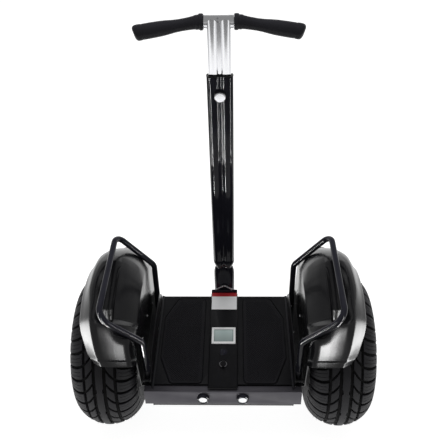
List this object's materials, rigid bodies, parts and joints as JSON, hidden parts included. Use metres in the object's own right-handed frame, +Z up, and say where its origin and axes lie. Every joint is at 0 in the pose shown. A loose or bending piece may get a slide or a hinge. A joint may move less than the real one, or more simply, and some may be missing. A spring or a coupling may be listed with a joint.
{
  "type": "two-wheel self-balancing personal transporter",
  "caption": "Stand-on two-wheel balancing scooter: flat deck with foot mats between off-road tyres under moulded fenders, grab rails, and a leaning telescopic column with handlebar",
  "frame": {"origin": "on the ground plane under the axle line, midway between the wheels, at the centre of the bounding box's bottom", "axes": "+X is the rider's right, +Y is forward the way the rider faces, +Z is up. Metres"},
  "size_m": [0.889, 0.488, 1.2556],
  "materials": {
    "tyre_rubber": "moulded rubber, matt",
    "mat_rubber": "moulded rubber with a fine raised texture",
    "grip_rubber": "moulded rubber, matt",
    "satin_black_metal": "satin black powder coat",
    "moulded_black": "moulded plastic, low sheen",
    "gloss_black_paint": "gloss black paint",
    "gloss_black_plastic": "gloss black plastic",
    "clear_lens": "clear",
    "grey_paint": "dark grey satin paint",
    "edge_aluminium": "brushed",
    "bare_aluminium": "clear anodised extrusion",
    "white_plastic": "smooth white",
    "screen_glass": "display window, pale grey-green behind",
    "bronze": "plain bearing bronze",
    "battery_wrap": "shrink wrap",
    "board_green": "lacquered board with a metal heat sink",
    "copper_winding": "enamelled copper winding",
    "steel": "machined"
  },
  "bodies": {
    "chassis": {"chassis_tray": "satin_black_metal", "deck_cover": "moulded_black", "rear_beam": "grey_paint", "console_cover": "moulded_black", "display_bezel": "white_plastic", "display_screen": "screen_glass", "charge_socket": "steel", "battery_pack": "battery_wrap", "control_board": "board_green", "pivot_housing": "steel", "pivot_bush": "bronze", "centring_rubber": "grip_rubber", "deck_rail_left": "edge_aluminium", "foot_mat_left": "mat_rubber", "lamp_bezel_left": "gloss_black_plastic", "lamp_lens_left": "clear_lens", "side_plate_left": "satin_black_metal", "axle_clamp_left": "steel", "axle_left": "steel", "motor_stator_left": "copper_winding", "fender_left": "moulded_black", "fender_stud_left": "steel", "handrail_left": "gloss_black_paint", "deck_rail_right": "edge_aluminium", "foot_mat_right": "mat_rubber", "lamp_bezel_right": "gloss_black_plastic", "lamp_lens_right": "clear_lens", "side_plate_right": "satin_black_metal", "axle_clamp_right": "steel", "axle_right": "steel", "motor_stator_right": "copper_winding", "fender_right": "moulded_black", "fender_stud_right": "steel", "handrail_right": "gloss_black_paint"},
    "wheel_left": {"tyre_left": "tyre_rubber", "rim_left": "satin_black_metal", "hub_cover_inner_left": "satin_black_metal", "hub_cover_outer_left": "satin_black_metal", "bearing_inner_left": "steel", "bearing_outer_left": "steel"},
    "wheel_right": {"tyre_right": "tyre_rubber", "rim_right": "satin_black_metal", "hub_cover_inner_right": "satin_black_metal", "hub_cover_outer_right": "satin_black_metal", "bearing_inner_right": "steel", "bearing_outer_right": "steel"},
    "steering_column": {"pivot_shaft": "steel", "column_foot": "satin_black_metal", "outer_tube": "gloss_black_paint", "lower_collar": "gloss_black_paint", "upper_collar": "moulded_black"},
    "lock_knob": {"lock_knob": "moulded_black", "lock_knob_cap": "bare_aluminium"},
    "handlebar_post": {"inner_tube": "bare_aluminium", "bar_sleeve": "bare_aluminium", "handlebar": "bare_aluminium", "grip_left": "grip_rubber", "grip_right": "grip_rubber"},
    "power_button": {"power_button": "gloss_black_plastic"},
    "charge_cap": {"charge_cap": "moulded_black"}
  },
  "joints": [
    {"name": "wheel_left_spin", "type": "hinge", "parent": "chassis", "child": "wheel_left", "pos_m": [-0.348, 0, 0.238], "axis": [1, 0, 0], "continuous": true},
    {"name": "wheel_right_spin", "type": "hinge", "parent": "chassis", "child": "wheel_right", "pos_m": [0.348, 0, 0.238], "axis": [1, 0, 0], "continuous": true},
    {"name": "column_lean", "type": "hinge", "parent": "chassis", "child": "steering_column", "pos_m": [0, 0.2245, 0.235], "axis": [0, 1, 0], "range_deg": [-15, 15], "stiffness_Nm_per_rad": 60},
    {"name": "handlebar_height", "type": "slide", "parent": "steering_column", "child": "handlebar_post", "axis": [0, -0.1011, 0.9949], "range_m": [-0.115, 0.03]},
    {"name": "height_lock_knob", "type": "hinge", "parent": "steering_column", "child": "lock_knob", "pos_m": [0, 0.12219, 1.05124], "axis": [0, -0.9949, -0.1011], "range_deg": [0, 180]},
    {"name": "power_button_press", "type": "slide", "parent": "chassis", "child": "power_button", "axis": [0, 0, -1], "range_m": [0, 0.0015], "stiffness_N_per_m": 800},
    {"name": "charge_cap_hinge", "type": "hinge", "parent": "chassis", "child": "charge_cap", "pos_m": [0, -0.1159, 0.2793], "axis": [1, 0, 0], "range_deg": [0, 110]}
  ]
}
